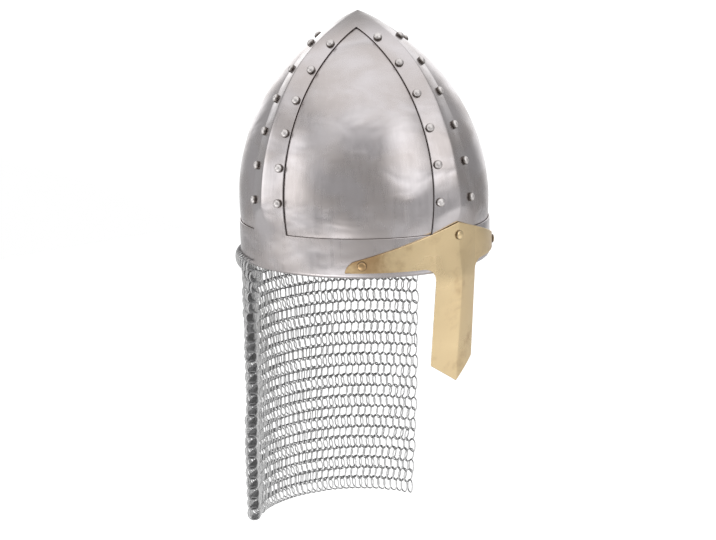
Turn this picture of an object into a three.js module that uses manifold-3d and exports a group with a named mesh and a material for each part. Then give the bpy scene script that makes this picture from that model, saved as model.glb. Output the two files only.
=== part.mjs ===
// Conical helmet: a creased steel frame over four panels, a brass nasal and a curtain of mail.
// Millimetres, +Z up. The front faces -Y and the wearer's left is +X. The origin is the middle of the
// head opening, on the plane of the rim.

import * as THREE from 'three';
import { mergeVertices } from 'three/addons/utils/BufferGeometryUtils.js';
import Module from 'manifold-3d';

const wasm = await Module();
wasm.setup();

// Bowl, measured on the outer face of the panels
const HALF_WIDTH = 104; // across the ears, at the brow
const HALF_LENGTH = 110.5; // front to back, at the brow
const BROW_HEIGHT = 32.4; // upright brow band, up from the rim
const BELLY_HEIGHT = 48.2; // where the bowl is widest
const POINT_HEIGHT = 205.5;
const POINT_BACK = 1; // the point lies this far behind the middle
const OGIVE = 1.68; // 1 gives a half ellipse, more gives a sharper point
const POINT_ROUNDING = 18; // inside this radius the sheets turn to lie level

// Sheets
const SHEET = 1.2; // steel of the frame and the panels
const GAP = 0.3; // between pieces that touch
const FRAME_INNER = GAP;
const FRAME_OUTER = GAP + SHEET;

// Bands of the frame: half widths are plan distances from the crease
const BAND_HALF = 16.5;
const BAND_FLARES = [7.2, 4.4]; // added at the brow: front and back bands, side bands
const FLARE_END = 0.7; // share of the way to the point at which the flare has gone
const CREASE_RISE = 4.9;
const CREASE_FADE = 30; // the crease grows from nothing to its full rise over this height
const CREASE_RISE_TOP = 1; // what is left of the rise at the point
const CREASE_SINK = 0.6; // share of the way to the point from which it sinks
const CREASE_HOLLOW = 1.2; // 1 gives flat sides to a crease, more gives hollow ones
const PANEL_LAP = 10; // panel hidden behind the frame's edge

// Steel rivets, six down each edge of a band
const RIVETS_PER_EDGE = 6;
const RIVET_FIRST = 0.12; // share of the way from the brow to the point
const RIVET_STEPS = [0.1375, 0.131]; // front and back bands, side bands
const RIVET_INSET = 4.7; // plan distance from the band's edge
const RIVET_HEAD_R = 3.6;
const RIVET_HEAD_HEIGHT = 3.3;
const RIVET_SHANK_R = 1.6;
const RIVET_TAIL = 5.2; // from under the head to the end inside the bowl
const HOLE_CLEARANCE = 0.3;
const DOME_SHOULDER_R = 0.68; // shoulder of a rivet's dome, as shares of its radius and height
const DOME_SHOULDER_HEIGHT = 0.74;

// Brass nasal
const NASAL_SHEET = 1.6;
const NASAL_PEAK = 40.3; // top of the plate at the middle
const NASAL_TAPER = 0.543; // fall of the top edge, mm a degree
const NASAL_ARM_LOW = 5; // bottom edge of the arms
const NASAL_ARM_END = 51.8; // degrees from the front
const NASAL_END_ROUND = 4; // degrees in which the top edge turns down to the end
const NASAL_BAR_HALF = 22;
const NASAL_CORNER = -78; // bottom corners of the bar
const NASAL_TIP = -94.3;
const NASAL_FILLET = 6; // degrees taken by the fillet between bar and arm
const NASAL_FILLET_DROP = 9;
const NASAL_CREASE = 1.8;
const NASAL_RIDGE = 2.8; // the crease stands out by this much more at the nose
const NASAL_RIDGE_TOP = 24; // from the crease's own height here, below the rivet
const NASAL_RIDGE_NOSE = -6; // to the most it stands out, here
const NASAL_FOLD = 1.8; // more fold at the corners
const NASAL_FLARE = 0.055; // share by which the bar widens to its corners
const NASAL_LEAN = 0.062; // inward lean of the bar below the rim
const NASAL_LEAN_START = -6; // the bar is upright down to this height
const NASAL_RIVET_R = 3.9;
const NASAL_RIVET_HEIGHT = 1.8;
const NASAL_RIVET_TAIL = 5;
const NASAL_RIVETS = [
  { name: 'nasal_rivet_right', angle: -44.5, height: 11 },
  { name: 'nasal_rivet_middle', angle: 0, height: 29.8 },
  { name: 'nasal_rivet_left', angle: 44.5, height: 11 },
];

// Mail curtain, from its left edge round the back to its right edge, in degrees from the front
const MAIL_LEFT = { top: 109.5, bottom: 108 };
const MAIL_RIGHT = 256;
const MAIL_GATHER = 23; // degrees by which the right edge is gathered to the back
const MAIL_GATHER_DEPTH = 0.38; // share of the drop in which that happens
const MAIL_DROP = 265;
const MAIL_RIGHT_LIFT = 14; // the right edge hangs shorter
const MAIL_NARROWING = 0.065; // share of the width lost at the bottom
const MAIL_BACKWARD = 12.6; // the bottom hangs this far behind the rim
const MAIL_TUCK = 2; // the right side hangs this far inside the rim
const MAIL_TUCK_START = 2; // depths below the rim between which the tuck grows
const MAIL_TUCK_END = 10;
const MAIL_TUCK_FADE = { start: 0.45, end: 0.75 }; // shares of the drop between which it fades
const MAIL_HALF_WALL = 4.4;
const MAIL_LIP_HEIGHT = 9; // rings that hook over the rim, inside and outside
const MAIL_LIP = 2.4;
const MAIL_COLUMNS = 20;
const MAIL_HEIGHTS = [-6, -60, -115, -165, -215];

// Faces
const BAND_COLUMNS = 3; // in half a band
const BAND_ROWS_LOW = 9; // from the brow to the windows' tips
const BAND_ROWS_TOP = 3; // from there to the helmet's point
const ROW_CROWDING = 1.2; // 1 spaces the rows evenly, more crowds them towards the tips
const WINDOW_COLUMNS = 8;
const PANEL_COLUMNS = 6;
const NASAL_BAR_COLUMNS = 3; // in half the bar
const NASAL_ARM_COLUMNS = 5;
const NASAL_FILLET_COLUMNS = [0.05, 0.5, 1.5, 3]; // degrees past the bar's edge
const NASAL_END_COLUMNS = [0.4, 0.7, 0.9, 1]; // shares of the rounded end
const RIVET_SIDES = 8;
const HOLE_SIDES = 4; // square, hidden under the round heads
const WELD = 0.005; // points closer than this are one point
const HALVINGS = 40; // of the search for a meeting point
const SEAT_STEP = 0.01; // of the differences that give a normal

const STEEL = { color: 0xb4b0b3, roughness: 0.32, metalness: 1 };
const RIVET_STEEL = { color: 0xa6a2a4, roughness: 0.35, metalness: 1 };
const BRASS = { color: 0xcdb481, roughness: 0.4, metalness: 1 };
const MAIL_STEEL = { color: 0x8b8b8d, roughness: 0.45, metalness: 1 };

const QUARTER = Math.PI / 2;
const DIAGONAL = Math.atan2(HALF_LENGTH, HALF_WIDTH);
const MEAN_RADIUS = (HALF_WIDTH + HALF_LENGTH) / 2;

const clamp = THREE.MathUtils.clamp;
const lerp = THREE.MathUtils.lerp;
const smoothstep = THREE.MathUtils.smoothstep;
const radians = THREE.MathUtils.degToRad;

// The bowl's outline is an ellipse arc whose centre lies beyond the axis. t runs from 0 at the top of
// the brow to 1 at the point, and below 0 it goes straight down the brow to -1 at the rim.
const ARC_HEIGHT = ((POINT_HEIGHT - BELLY_HEIGHT) * OGIVE) / Math.sqrt(2 * OGIVE - 1);
const ARC_START = Math.asin((BROW_HEIGHT - BELLY_HEIGHT) / ARC_HEIGHT);
const ARC_END = Math.asin((POINT_HEIGHT - BELLY_HEIGHT) / ARC_HEIGHT);
const BROW_SCALE = OGIVE * Math.cos(ARC_START) - (OGIVE - 1);

function outline(t) {
  if (t <= 0) {
    return { scale: 1, height: BROW_HEIGHT * (1 + t), outward: 1, upward: 0 };
  }
  const angle = lerp(ARC_START, ARC_END, t);
  const scale = (OGIVE * Math.cos(angle) - (OGIVE - 1)) / BROW_SCALE;
  const height = BELLY_HEIGHT + ARC_HEIGHT * Math.sin(angle);
  const slopeIn = (OGIVE * Math.sin(angle) * MEAN_RADIUS) / BROW_SCALE;
  const slopeUp = ARC_HEIGHT * Math.cos(angle);
  const lean = Math.atan2(Math.max(slopeIn, 0), slopeUp);
  const outward = Math.cos(lean) * clamp((scale * MEAN_RADIUS) / POINT_ROUNDING, 0, 1);
  return { scale, height, outward, upward: Math.sqrt(1 - outward * outward) };
}

// A point at an angle from the front, t up the outline and an offset along the sheet's normal
function bowlPoint(angle, t, offset) {
  const at = outline(t);
  const back = POINT_BACK * clamp((at.height - BROW_HEIGHT) / (POINT_HEIGHT - BROW_HEIGHT), 0, 1);
  const x = (HALF_WIDTH * at.scale + offset * at.outward) * Math.sin(angle);
  const y = -(HALF_LENGTH * at.scale + offset * at.outward) * Math.cos(angle) + back;
  return new THREE.Vector3(x, y, at.height + offset * at.upward);
}

// Bands are numbered from the front towards the wearer's left. They flare towards the brow.
function bandHalf(band, t) {
  const low = 1 - clamp(t / FLARE_END, 0, 1);
  return BAND_HALF + BAND_FLARES[band % 2] * low ** 2;
}

// How far a band stands up from the bowl: full at its crease, nothing at its edges. Towards the point
// the crease sinks, and above the windows the valleys between the bands fill up.
function creaseLift(angle, t) {
  const at = outline(t);
  const sideways = Math.abs(HALF_WIDTH * at.scale * Math.sin(angle)) / bandHalf(0, t);
  const lengthways = Math.abs(HALF_LENGTH * at.scale * Math.cos(angle)) / bandHalf(1, t);
  const valley = 1 - smoothstep(t, WINDOW_TIP, 1);
  const across = Math.max(0, 1 - valley * Math.min(sideways, lengthways));
  const grown = smoothstep(at.height, BROW_HEIGHT, BROW_HEIGHT + CREASE_FADE);
  const rise = lerp(CREASE_RISE, CREASE_RISE_TOP, smoothstep(t, CREASE_SINK, 1));
  return rise * grown * across ** CREASE_HOLLOW;
}

const framePoint = (angle, t, offset) => bowlPoint(angle, t, offset + creaseLift(angle, t));

// The angle from a band's crease to a line at a plan distance from it. It stops at the diagonal that
// two bands share.
function spread(band, t, distance) {
  const even = band % 2 === 0;
  const reach = (even ? HALF_WIDTH : HALF_LENGTH) * outline(t).scale;
  const limit = even ? DIAGONAL : QUARTER - DIAGONAL;
  return reach > 0 ? Math.min(Math.asin(Math.min(1, distance / reach)), limit) : limit;
}

// The share of the outline at which a line at a plan distance from two bands reaches the diagonal
function meetingPoint(distanceAt) {
  let low = 0;
  let high = 1;
  for (let step = 0; step < HALVINGS; step++) {
    const middle = (low + high) / 2;
    const diagonalReach = HALF_WIDTH * outline(middle).scale * Math.sin(DIAGONAL);
    if (diagonalReach > distanceAt(middle)) low = middle;
    else high = middle;
  }
  return low;
}

const WINDOW_TIP = meetingPoint((t) => bandHalf(0, t));

const steps = (from, to, count) => Array.from({ length: count + 1 }, (_, i) => lerp(from, to, i / count));

// A sheet of two faces. Each patch is a grid of nodes, rows upwards and columns to the viewer's right,
// and patches join where their outer points coincide. Open edges get a wall.
function sheetGeometry(patches, outer, inner) {
  const places = new Map();
  const outside = [];
  const inside = [];
  const vertex = (node) => {
    const point = outer(node);
    const key = point.toArray().map((value) => Math.round(value / WELD)).join();
    if (!places.has(key)) {
      places.set(key, outside.length);
      outside.push(point);
      inside.push(inner(node));
    }
    return places.get(key);
  };
  const faces = [];
  const addFace = (a, b, c) => {
    if (a !== b && b !== c && c !== a) faces.push([a, b, c]);
  };
  for (const patch of patches) {
    const ids = patch.map((row) => row.map(vertex));
    for (let r = 0; r + 1 < ids.length; r++) {
      for (let c = 0; c + 1 < ids[r].length; c++) {
        addFace(ids[r][c], ids[r][c + 1], ids[r + 1][c + 1]);
        addFace(ids[r][c], ids[r + 1][c + 1], ids[r + 1][c]);
      }
    }
  }
  const open = new Map();
  for (const face of faces) {
    face.forEach((from, i) => {
      const to = face[(i + 1) % 3];
      if (!open.delete(`${to},${from}`)) open.set(`${from},${to}`, [from, to]);
    });
  }
  const count = outside.length;
  const index = [];
  for (const [a, b, c] of faces) {
    index.push(a, b, c, c + count, b + count, a + count);
  }
  for (const [from, to] of open.values()) {
    index.push(to, from, from + count, to, from + count, to + count);
  }
  const geometry = new THREE.BufferGeometry().setFromPoints([...outside, ...inside]);
  geometry.setIndex(index);
  return geometry;
}

function toSolid(geometry) {
  const plain = geometry.clone();
  plain.deleteAttribute('normal');
  plain.deleteAttribute('uv');
  const merged = mergeVertices(plain, WELD);
  const all = merged.index.array;
  const kept = [];
  for (let i = 0; i < all.length; i += 3) {
    const [a, b, c] = [all[i], all[i + 1], all[i + 2]];
    if (a !== b && b !== c && c !== a) kept.push(a, b, c);
  }
  const vertProperties = new Float32Array(merged.attributes.position.array);
  return new wasm.Manifold(new wasm.Mesh({ numProp: 3, vertProperties, triVerts: new Uint32Array(kept) }));
}

function toGeometry(solid) {
  const mesh = solid.getMesh();
  const geometry = new THREE.BufferGeometry();
  geometry.setAttribute('position', new THREE.BufferAttribute(mesh.vertProperties, 3));
  geometry.setIndex(new THREE.BufferAttribute(mesh.triVerts, 1));
  return geometry;
}

function drill(geometry, holes) {
  let solid = toSolid(geometry);
  for (const hole of holes) {
    solid = solid.subtract(toSolid(hole));
  }
  return toGeometry(solid);
}

const helmet = new THREE.Group();

function add(name, geometry, look, parent = helmet) {
  geometry.computeVertexNormals();
  const mesh = new THREE.Mesh(geometry, new THREE.MeshStandardMaterial(look));
  mesh.name = name;
  parent.add(mesh);
  return mesh;
}

// A rivet and its hole stand on a seat: a point on a sheet's outer face and the normal there.
function seatOn(surface, angle, height) {
  const point = surface(angle, height);
  const along = surface(angle + SEAT_STEP, height).sub(surface(angle - SEAT_STEP, height));
  const up = surface(angle, height + SEAT_STEP).sub(surface(angle, height - SEAT_STEP));
  return { point, normal: along.cross(up).normalize() };
}

function standOn(seat, rise, object) {
  object.position.copy(seat.point).addScaledVector(seat.normal, rise);
  object.quaternion.setFromUnitVectors(new THREE.Vector3(0, 1, 0), seat.normal);
  return object;
}

function rivetGeometry(headRadius, headHeight, tail) {
  const profile = [
    new THREE.Vector2(0, -tail),
    new THREE.Vector2(RIVET_SHANK_R, -tail),
    new THREE.Vector2(RIVET_SHANK_R, 0),
    new THREE.Vector2(headRadius, 0),
    new THREE.Vector2(headRadius * DOME_SHOULDER_R, headHeight * DOME_SHOULDER_HEIGHT),
    new THREE.Vector2(0, headHeight),
  ];
  return new THREE.LatheGeometry(profile, RIVET_SIDES);
}

function holeGeometry(seat) {
  const depth = 2 * RIVET_TAIL;
  const radius = (RIVET_SHANK_R + HOLE_CLEARANCE) / Math.cos(Math.PI / HOLE_SIDES);
  const pin = new THREE.Object3D();
  standOn(seat, 0, pin).updateMatrix();
  return new THREE.CylinderGeometry(radius, radius, depth, HOLE_SIDES).applyMatrix4(pin.matrix);
}

// Seats of the steel rivets, on both edges of the four bands. A name gives the band, then the edge by
// the band that it faces. A quarter is the panel behind, numbered with the band before it.
const BANDS = ['front', 'left', 'back', 'right'];
const rivetSeats = [];
BANDS.forEach((bandName, band) => {
  for (const side of [-1, 1]) {
    for (let i = 0; i < RIVETS_PER_EDGE; i++) {
      const t = RIVET_FIRST + RIVET_STEPS[band % 2] * i;
      const angle = band * QUARTER + side * spread(band, t, bandHalf(band, t) - RIVET_INSET);
      const seat = seatOn((a, h) => framePoint(a, h, FRAME_OUTER), angle, t);
      const name = `rivet_${bandName}_${BANDS[(band + side + 4) % 4]}_${i + 1}`;
      rivetSeats.push({ name, quarter: (band + (side < 0 ? 3 : 0)) % 4, ...seat });
    }
  }
});

// Nasal: the outer face follows the brow, with a crease down the middle that stands out most at the
// nose. Below the rim the bar leans inwards, widens and folds a little more towards its corners.
function nasalPoint(angle, height, offset) {
  const stand = FRAME_OUTER + GAP + offset;
  const x = (HALF_WIDTH + stand) * Math.sin(angle);
  const across = Math.min(1, Math.abs(x) / NASAL_BAR_HALF);
  const aboveNose = smoothstep(height, NASAL_RIDGE_NOSE, NASAL_RIDGE_TOP);
  const belowNose = smoothstep(-height, -NASAL_RIDGE_NOSE, -NASAL_TIP);
  const crease = NASAL_CREASE + NASAL_RIDGE * (1 - aboveNose) * (1 - belowNose);
  const reach = HALF_LENGTH + stand + crease * (1 - across);
  const below = Math.max(0, NASAL_LEAN_START - height);
  const folded = below / (NASAL_LEAN_START - NASAL_CORNER);
  const inward = NASAL_LEAN * below + NASAL_FOLD * across * folded;
  return new THREE.Vector3(x * (1 + NASAL_FLARE * folded), -reach * Math.cos(angle) + inward, height);
}

const nasalSeats = NASAL_RIVETS.map(({ name, angle, height }) => {
  const seat = seatOn((a, h) => nasalPoint(a, h, NASAL_SHEET), radians(angle), height);
  return { name, ...seat };
});

// Bottom and top edge of the plate at an angle from the front, in degrees
const NASAL_BAR_ANGLE = THREE.MathUtils.radToDeg(Math.asin(NASAL_BAR_HALF / (HALF_WIDTH + FRAME_OUTER)));

function nasalArmEdges(degrees) {
  const high = NASAL_PEAK - NASAL_TAPER * degrees;
  const intoFillet = clamp(1 - (degrees - NASAL_BAR_ANGLE) / NASAL_FILLET, 0, 1);
  const filletDrop = NASAL_FILLET_DROP * (1 - Math.sqrt(1 - intoFillet ** 2));
  const intoEnd = clamp((degrees - NASAL_ARM_END) / NASAL_END_ROUND + 1, 0, 1);
  const left = (high - NASAL_ARM_LOW) * Math.sqrt(1 - intoEnd ** 2);
  return { low: NASAL_ARM_LOW - filletDrop, high: NASAL_ARM_LOW + left };
}

function nasalBarEdges(degrees) {
  const across = degrees / NASAL_BAR_ANGLE;
  return { low: lerp(NASAL_TIP, NASAL_CORNER, across), high: NASAL_PEAK - NASAL_TAPER * degrees };
}

function nasalGeometry() {
  const roundStart = NASAL_ARM_END - NASAL_END_ROUND;
  const bar = steps(0, NASAL_BAR_ANGLE, NASAL_BAR_COLUMNS);
  const fillet = NASAL_FILLET_COLUMNS.map((past) => NASAL_BAR_ANGLE + past);
  const arm = steps(NASAL_BAR_ANGLE + NASAL_FILLET, roundStart, NASAL_ARM_COLUMNS);
  const end = NASAL_END_COLUMNS.map((share) => roundStart + NASAL_END_ROUND * share);
  const half = [
    ...bar.map((degrees) => ({ degrees, ...nasalBarEdges(degrees) })),
    ...[...fillet, ...arm, ...end].map((degrees) => ({ degrees, ...nasalArmEdges(degrees) })),
  ];
  const mirrored = half.slice(1).reverse().map((column) => ({ ...column, degrees: -column.degrees }));
  const columns = [...mirrored, ...half];
  const row = (heightIn) => columns.map((column) => ({
    angle: radians(column.degrees),
    height: heightIn(column.low, Math.max(column.low, NASAL_LEAN_START), column.high),
  }));
  const rows = [
    row((low) => low),
    row((low, bend) => lerp(low, bend, 0.4)),
    row((low, bend) => lerp(low, bend, 0.75)),
    row((low, bend) => bend),
    row((low, bend, high) => (bend + high) / 2),
    row((low, bend, high) => high),
  ];
  return sheetGeometry(
    [rows],
    (node) => nasalPoint(node.angle, node.height, NASAL_SHEET),
    (node) => nasalPoint(node.angle, node.height, 0),
  );
}

const WINDOW_HEIGHTS = steps(1, 0, BAND_ROWS_LOW).map((left) => WINDOW_TIP * (1 - left ** ROW_CROWDING));

// Frame: one patch for each band and one for the brow below bands and windows
function frameGeometry() {
  const heights = [...WINDOW_HEIGHTS, ...steps(WINDOW_TIP, 1, BAND_ROWS_TOP).slice(1)];
  const patches = [];
  const browAngles = [];
  for (let band = 0; band < 4; band++) {
    const middle = band * QUARTER;
    const shares = steps(-1, 1, 2 * BAND_COLUMNS);
    const bandRow = (t) =>
      shares.map((share) => ({ angle: middle + share * spread(band, t, bandHalf(band, t)), t }));
    patches.push(heights.map(bandRow));
    const edge = middle + spread(band, 0, bandHalf(band, 0));
    const nextEdge = middle + QUARTER - spread(band + 1, 0, bandHalf(band + 1, 0));
    browAngles.push(...bandRow(0).map((node) => node.angle).slice(0, -1));
    browAngles.push(...steps(edge, nextEdge, WINDOW_COLUMNS).slice(0, -1));
  }
  browAngles.push(browAngles[0] + 4 * QUARTER);
  patches.push(steps(-1, 0, 2).map((t) => browAngles.map((angle) => ({ angle, t }))));
  return sheetGeometry(
    patches,
    (node) => framePoint(node.angle, node.t, FRAME_OUTER),
    (node) => framePoint(node.angle, node.t, FRAME_INNER),
  );
}

// Panel behind the window that follows a band towards the wearer's left
function panelGeometry(band) {
  const hidden = (side, t) => bandHalf(side, t) - PANEL_LAP;
  const bottom = -PANEL_LAP / BROW_HEIGHT;
  const heights = [bottom, ...WINDOW_HEIGHTS, meetingPoint((t) => hidden(band, t))];
  const rows = heights.map((t) => {
    const from = band * QUARTER + spread(band, t, hidden(band, t));
    const to = (band + 1) * QUARTER - spread(band + 1, t, hidden(band + 1, t));
    return steps(from, to, PANEL_COLUMNS).map((angle) => ({ angle, t }));
  });
  return sheetGeometry(
    [rows],
    (node) => bowlPoint(node.angle, node.t, 0),
    (node) => bowlPoint(node.angle, node.t, -SHEET),
  );
}

// Curtain: across runs from 0 at its left edge to 1 at its right edge
function curtainPoint(across, height, offset) {
  const drop = MAIL_DROP - MAIL_RIGHT_LIFT * across ** 3;
  const z = height < 0 ? (height * drop) / MAIL_DROP : height;
  const down = clamp(-height / MAIL_DROP, 0, 1);
  const left = lerp(MAIL_LEFT.top, MAIL_LEFT.bottom, down);
  const gathered = MAIL_GATHER * Math.min(1, down / MAIL_GATHER_DEPTH) * across ** 4;
  const angle = radians(lerp(left, MAIL_RIGHT, across) - gathered);
  const scale = 1 - MAIL_NARROWING * down ** 2;
  const below = smoothstep(-height, MAIL_TUCK_START, MAIL_TUCK_END);
  const kept = 1 - smoothstep(down, MAIL_TUCK_FADE.start, MAIL_TUCK_FADE.end);
  const tuck = MAIL_TUCK * across * below * kept;
  const x = (HALF_WIDTH * scale + offset - tuck) * Math.sin(angle);
  const y = -(HALF_LENGTH * scale + offset - tuck) * Math.cos(angle) + MAIL_BACKWARD * down ** 2;
  return new THREE.Vector3(x, y, z);
}

// Its section is a wall whose top straddles the rim
function curtainGeometry() {
  const outerLip = FRAME_OUTER + GAP;
  const innerLip = FRAME_INNER - GAP;
  const wall = (offset) => MAIL_HEIGHTS.map((height) => ({ height, offset }));
  const section = [
    { height: MAIL_LIP_HEIGHT, offset: outerLip },
    { height: MAIL_LIP_HEIGHT, offset: outerLip + MAIL_LIP },
    ...wall(MAIL_HALF_WALL),
    { height: -MAIL_DROP, offset: MAIL_HALF_WALL },
    { height: -MAIL_DROP, offset: -MAIL_HALF_WALL },
    ...wall(-MAIL_HALF_WALL).reverse(),
    { height: MAIL_LIP_HEIGHT, offset: innerLip - MAIL_LIP },
    { height: MAIL_LIP_HEIGHT, offset: innerLip },
    { height: -GAP, offset: innerLip },
    { height: -GAP, offset: outerLip },
  ];
  const count = section.length;
  const points = [];
  for (const across of steps(0, 1, MAIL_COLUMNS)) {
    points.push(...section.map(({ height, offset }) => curtainPoint(across, height, offset)));
  }
  const index = [];
  for (let c = 0; c < MAIL_COLUMNS; c++) {
    for (let i = 0; i < count; i++) {
      const next = (i + 1) % count;
      const [a, b] = [c * count + i, c * count + next];
      index.push(a, b, b + count, a, b + count, a + count);
    }
  }
  const flat = section.map(({ height, offset }) => new THREE.Vector2(offset, height));
  const last = MAIL_COLUMNS * count;
  for (const [a, b, c] of THREE.ShapeUtils.triangulateShape(flat, [])) {
    const clockwise = THREE.ShapeUtils.isClockWise([flat[a], flat[b], flat[c]]);
    const [second, third] = clockwise ? [c, b] : [b, c];
    index.push(a, second, third, last + a, last + third, last + second);
  }
  const geometry = new THREE.BufferGeometry().setFromPoints(points);
  geometry.setIndex(index);
  return geometry;
}

const frameHoles = [...rivetSeats, ...nasalSeats].map(holeGeometry);
add('frame', drill(frameGeometry(), frameHoles), STEEL);

const PANELS = ['panel_front_left', 'panel_back_left', 'panel_back_right', 'panel_front_right'];
PANELS.forEach((name, quarter) => {
  const holes = rivetSeats.filter((seat) => seat.quarter === quarter).map(holeGeometry);
  add(name, drill(panelGeometry(quarter), holes), STEEL);
});

for (const seat of rivetSeats) {
  const rivet = add(seat.name, rivetGeometry(RIVET_HEAD_R, RIVET_HEAD_HEIGHT, RIVET_TAIL), RIVET_STEEL);
  standOn(seat, GAP, rivet);
}

add('nasal', drill(nasalGeometry(), nasalSeats.map(holeGeometry)), BRASS);
for (const seat of nasalSeats) {
  const rivet = add(seat.name, rivetGeometry(NASAL_RIVET_R, NASAL_RIVET_HEIGHT, NASAL_RIVET_TAIL), BRASS);
  standOn(seat, GAP, rivet);
}

add('mail_curtain', curtainGeometry(), MAIL_STEEL);

export default helmet;
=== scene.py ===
"""Conical riveted helmet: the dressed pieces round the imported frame.

Lengths are metres and +Z is up. The front faces -Y and the wearer's left is +X. The origin is the
middle of the head opening, on the plane of the rim. Angles on the bowl are measured from the front
towards the wearer's left, and t runs up its outline: -1 at the rim, 0 at the top of the brow and 1 at
the point.
"""

import math

import bpy
import numpy as np
from mathutils import Matrix, Vector


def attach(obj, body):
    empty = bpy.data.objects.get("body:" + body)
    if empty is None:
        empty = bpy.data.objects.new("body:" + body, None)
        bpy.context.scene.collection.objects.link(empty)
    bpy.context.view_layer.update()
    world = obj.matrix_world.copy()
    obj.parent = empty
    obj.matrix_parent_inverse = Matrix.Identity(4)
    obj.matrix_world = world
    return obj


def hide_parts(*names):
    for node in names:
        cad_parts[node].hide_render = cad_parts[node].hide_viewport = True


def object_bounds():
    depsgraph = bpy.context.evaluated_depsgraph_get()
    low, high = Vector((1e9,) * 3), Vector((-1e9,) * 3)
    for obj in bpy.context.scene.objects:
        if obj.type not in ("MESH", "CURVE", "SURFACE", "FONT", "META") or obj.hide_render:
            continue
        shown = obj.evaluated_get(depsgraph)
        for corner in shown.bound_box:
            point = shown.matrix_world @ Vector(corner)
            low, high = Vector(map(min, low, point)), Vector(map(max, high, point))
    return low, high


bl_info = {
    "name": "Nasal Helmet with Mail",
    "version": (1, 0, 0),
    "blender": (4, 5, 0),
    "location": "View3D > Sidebar > Helmet",
    "description": "Dresses a conical steel helmet with a brass nasal and a curtain of linked mail",
    "category": "Add Mesh",
}

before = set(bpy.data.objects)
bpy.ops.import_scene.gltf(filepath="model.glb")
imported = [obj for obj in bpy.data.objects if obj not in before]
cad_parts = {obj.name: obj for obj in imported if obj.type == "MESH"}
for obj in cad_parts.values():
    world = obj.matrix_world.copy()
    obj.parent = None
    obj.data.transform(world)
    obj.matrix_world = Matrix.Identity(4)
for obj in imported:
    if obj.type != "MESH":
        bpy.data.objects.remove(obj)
CAD_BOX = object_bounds()

BODY = "root"
BANDS = ("front", "left", "back", "right")
PANELS = ("panel_front_left", "panel_back_left", "panel_back_right", "panel_front_right")
QUARTER = math.pi / 2

# Sheets of the bowl
FRAME_INNER = 0.0003  # offset of the frame's inner face from the panels' outer face
PANEL_LAP = 0.010  # panel hidden behind the frame's edge
POINT_ROUNDING = 0.018  # inside this radius the sheets turn to lie level
BAND_FLARES = (0.0072, 0.0044)  # added to a half width at the brow: front and back bands, side bands
FLARE_END = 0.7  # t at which the flare has gone
CREASE_FADE = 0.022  # the crease grows to its full rise over this height
CREASE_RISE_TOP = 0.001  # what is left of the rise at the point
CREASE_SINK = 0.6  # t from which it sinks
CREASE_HOLLOW = 1.2  # 1 gives flat sides to a crease, more gives hollow ones
CREASE_ROUND = 0.0006  # rounding of the crease
RIM_ROLL = 0.0032  # radius of the turned-in bottom edge
RIM_ROLL_TURN = math.radians(78)
EDGE_BEVEL = 0.0005
BEVEL_SEGMENTS = 2
BEVEL_ANGLE = math.radians(55)  # sharper edges than this are rounded
HALVINGS = 40  # of the search for a meeting point
WELD_TOLERANCE = 2e-6

# Grids: columns of half a band, from its crease to its edge, and lines beside a panel's seam
BAND_COLUMNS = (0, 0.04, 0.09, 0.16, 0.26, 0.4, 0.55, 0.7, 0.84, 0.93, 1)
BAND_ROWS_LOW = 60
BAND_ROWS_TOP = 14
WINDOW_COLUMNS = 26
BROW_ROWS = 4
ROLL_ROWS = 7
SEAM_LINES = (-0.0006, 0, 0.0005, 0.001, 0.0018, 0.003)
PANEL_COLUMNS = 26
PANEL_ROWS = 44

# Rivets
RIVETS_PER_EDGE = 6
RIVET_FIRST = 0.12  # share of the way from the brow to the point
RIVET_STEPS = (0.1375, 0.131)  # front and back bands, side bands
RIVET_INSET = 0.0047  # plan distance from the band's edge
RIVET_GAP = 0.0003  # between a head, or the brass plate, and the sheet under it
RIVET_SIDES = 20
DOME_RINGS = 6
HEAD_EDGE = 0.12  # share of a head's height that is upright
HEAD_UNDERSIDE = 0.97  # reach of its flat underside, as a share of its radius
FOOT_SHADE_START = 0.84  # share of its radius from which painted shade darkens it
SHANK_R = 0.0016
RIVET_TAIL = ((0, 0), (0.00168, 0), (0.0024, 0.0004), (SHANK_R, 0.0009))  # radii, heights; hammered over
SEAT_STEP = 0.01  # of the differences that give a seat's normal
NEAR_UPRIGHT = 0.9  # upward part of a normal that asks for another helper axis

# Nasal
NASAL_ARM_LOW = 0.005  # bottom edge of the arms
NASAL_TAPER = 0.000543  # fall of the top edge, a degree
NASAL_END_ROUND = 4  # degrees in which the top edge turns down to the end
NASAL_FILLET = 6  # degrees taken by the fillet between bar and arm
NASAL_FILLET_DROP = 0.009
NASAL_CREASE = 0.0018  # how far the crease stands out everywhere
NASAL_CREASE_ROUND = 0.0006
NASAL_RIDGE = 0.0028  # the crease stands out by this much more at the nose
NASAL_RIDGE_TOP = 0.024  # height at which that has gone
NASAL_RIDGE_NOSE = -0.006  # height at which it is most
NASAL_FOLD = 0.0018  # more fold at the corners
NASAL_FLARE = 0.055  # share by which the bar widens to its corners
NASAL_LEAN = 0.062  # inward lean of the bar below the rim
NASAL_LEAN_START = -0.006
NASAL_BEVEL = 0.0005
NASAL_BAR_COLUMNS = (0, 0.03, 0.07, 0.13, 0.22, 0.35, 0.5, 0.65, 0.8, 0.92, 1)  # from crease to edge
NASAL_TURN_POINTS = 9  # in a fillet or a rounded end
NASAL_ARM_COLUMNS = 16
NASAL_ARM_ROWS = 16
NASAL_BAR_ROWS = 24
NASAL_RIVETS = {
    # degrees from the front and height
    "nasal_rivet_right": (-44.5, 0.011),
    "nasal_rivet_middle": (0, 0.0298),
    "nasal_rivet_left": (44.5, 0.011),
}

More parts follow.
